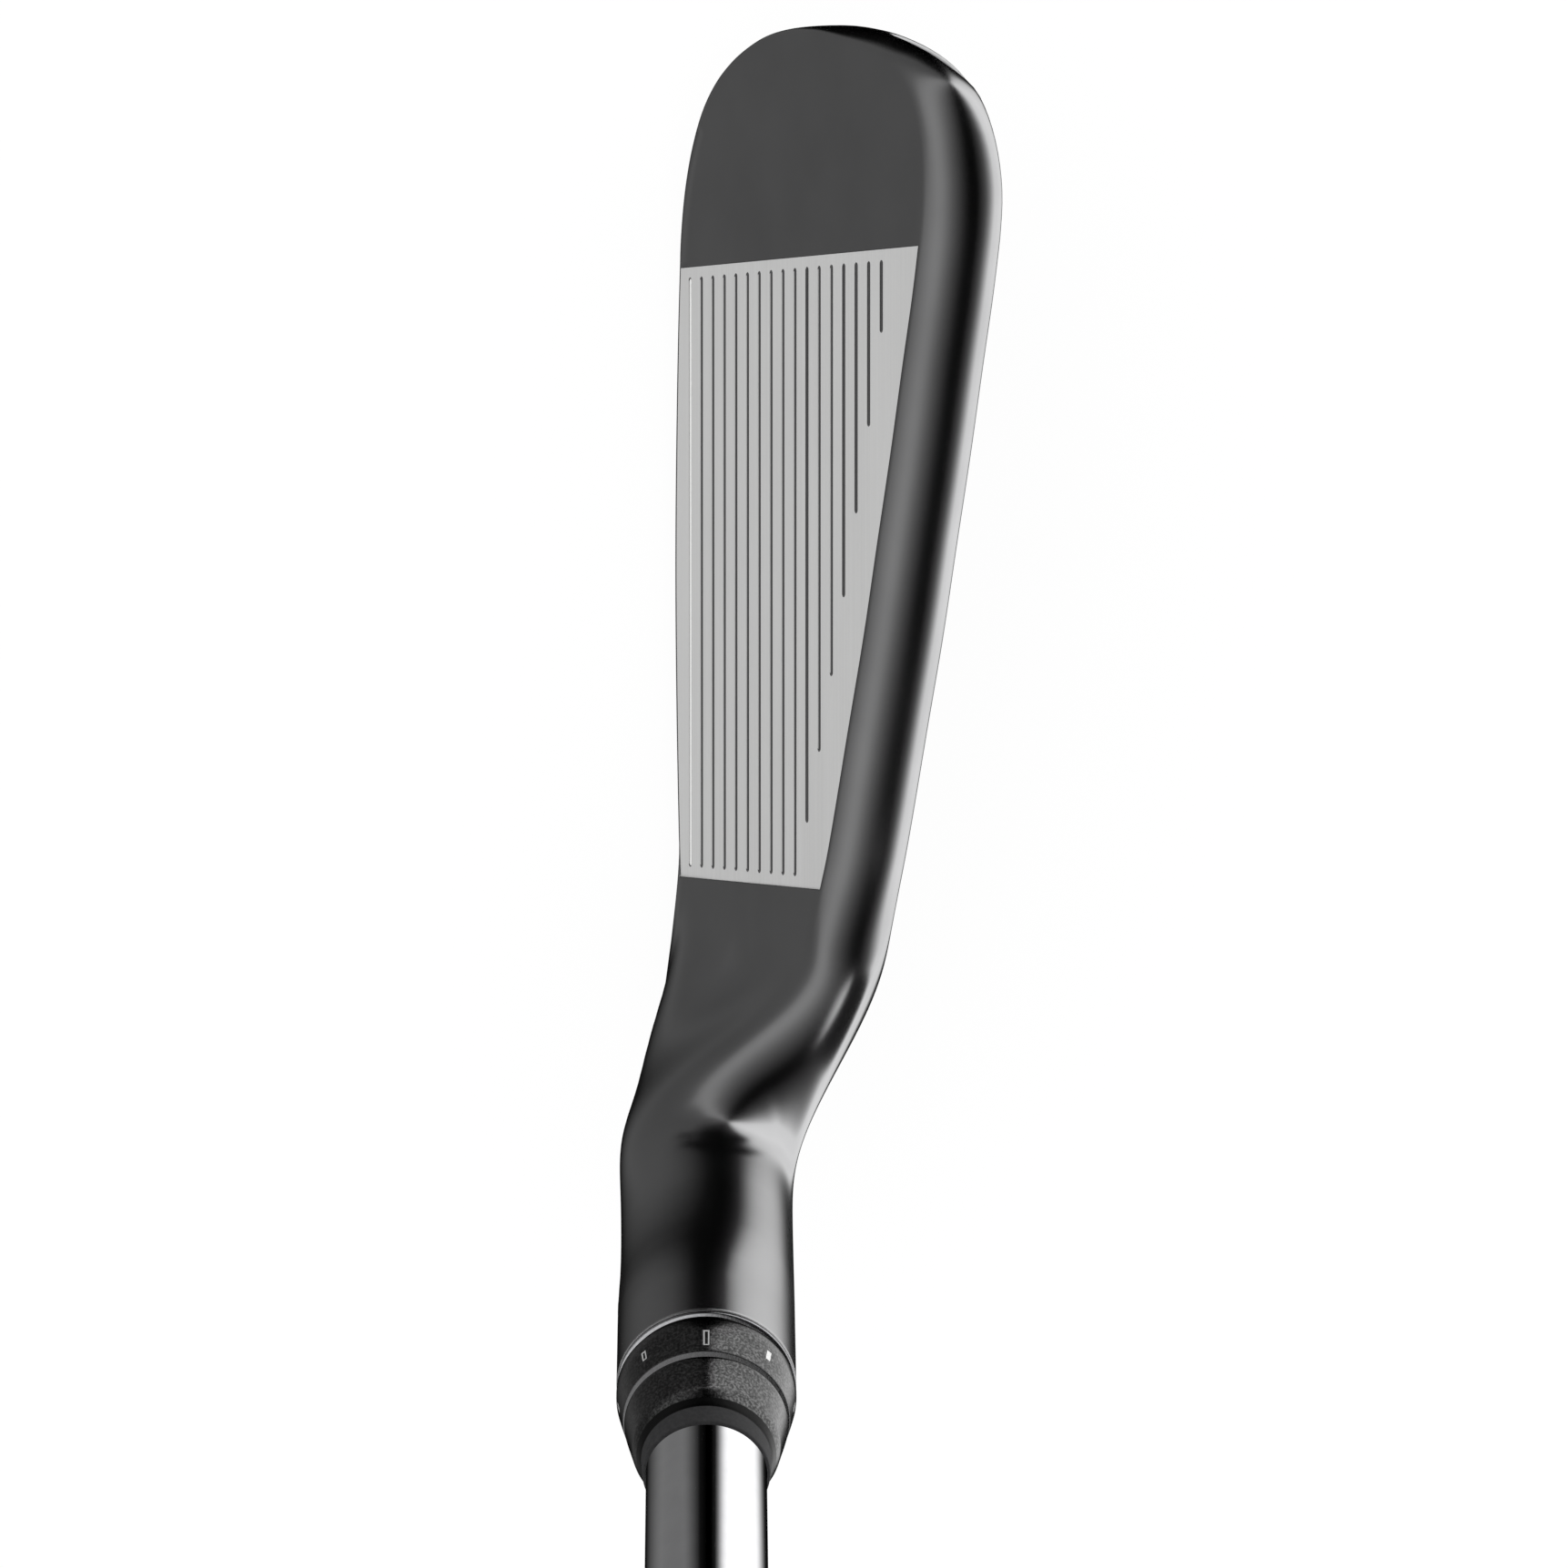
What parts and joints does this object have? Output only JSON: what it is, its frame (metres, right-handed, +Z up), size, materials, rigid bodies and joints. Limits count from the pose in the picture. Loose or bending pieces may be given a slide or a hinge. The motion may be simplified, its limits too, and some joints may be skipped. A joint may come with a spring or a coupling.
{
  "type": "iron golf club",
  "caption": "Right-handed iron golf club: hollow-backed black head with a scored face plate, adjustable indexed hosel, ferrule, stepped chrome shaft and rubber grip.",
  "frame": {"origin": "on the ground where the sole rests, in the middle of the small flat under the middle of the scorelines; the hosel's axis is 5 mm from it towards the target", "axes": "+X from heel to toe along the scorelines, +Y towards the target, the way the face looks, +Z up. The club stands as held at address: the shaft rises towards -X"},
  "size_m": [0.5528, 0.0374, 0.8516],
  "materials": {
    "head_body": "satin black physical-vapour coating on cast steel",
    "face_plate": "fine blasted steel with milled scorelines",
    "badge_core": "matt dark elastomer",
    "badge_plate": "dark anodised, brushed",
    "badge_accent": "bright brushed",
    "undercut_damper": "matt dark elastomer",
    "toe_weight_screw": "sintered tungsten alloy, satin",
    "toe_weight_slug": "sintered tungsten alloy, satin",
    "hosel_screw": "zinc-plated steel",
    "screw_washer": "zinc-plated steel",
    "screw_retainer": "natural nylon",
    "seat_ring": "bright turned edge",
    "adapter_sleeve": "black anodised",
    "thread_insert": "plain steel",
    "adapter_collar": "black anodised over bead blast, with cut index marks",
    "ferrule": "black, fine texture",
    "shaft": "polished chrome plate on stepped steel tube",
    "tip_weight": "turned brass",
    "grip_tape": "woven paper tape",
    "grip": "moulded black rubber",
    "grip_cap": "moulded black rubber"
  },
  "bodies": {
    "head": {"head_body": "head_body", "face_plate": "face_plate", "badge_core": "badge_core", "badge_plate": "badge_plate", "badge_accent": "badge_accent", "undercut_damper": "undercut_damper", "screw_washer": "screw_washer", "screw_retainer": "screw_retainer"},
    "toe_slug": {"toe_weight_slug": "toe_weight_slug"},
    "toe_screw": {"toe_weight_screw": "toe_weight_screw"},
    "clamp_screw": {"hosel_screw": "hosel_screw"},
    "ring": {"seat_ring": "seat_ring"},
    "shaft_group": {"adapter_sleeve": "adapter_sleeve", "thread_insert": "thread_insert", "adapter_collar": "adapter_collar", "ferrule": "ferrule", "shaft": "shaft", "tip_weight": "tip_weight", "grip_tape": "grip_tape", "grip": "grip", "grip_cap": "grip_cap"}
  },
  "joints": [
    {"name": "shaft_lift", "type": "slide", "parent": "head", "child": "ring", "axis": [-0.4617, 0, 0.887], "range_m": [0, 0.008]},
    {"name": "sleeve_turn", "type": "hinge", "parent": "ring", "child": "shaft_group", "pos_m": [-0.06518, 0.005, 0.05145], "axis": [-0.4617, 0, 0.887], "continuous": true},
    {"name": "clamp_screw_turn", "type": "hinge", "parent": "head", "child": "clamp_screw", "pos_m": [-0.04302, 0.005, 0.00887], "axis": [0.4617, 0, -0.887], "range_deg": [0, 3600]},
    {"name": "toe_weight_slide", "type": "slide", "parent": "head", "child": "toe_slug", "axis": [0.9896, -0.0995, -0.104], "range_m": [0, 0.01]},
    {"name": "toe_weight_turn", "type": "hinge", "parent": "toe_slug", "child": "toe_screw", "pos_m": [0.0336, -0.0099, 0.0146], "axis": [0.9896, -0.0995, -0.104], "range_deg": [0, 3600]}
  ],
  "couplings": [
    {"joint": "clamp_screw_turn", "follows": "shaft_lift", "rad_per_m": 7854},
    {"joint": "toe_weight_turn", "follows": "toe_weight_slide", "rad_per_m": 6283.2}
  ]
}
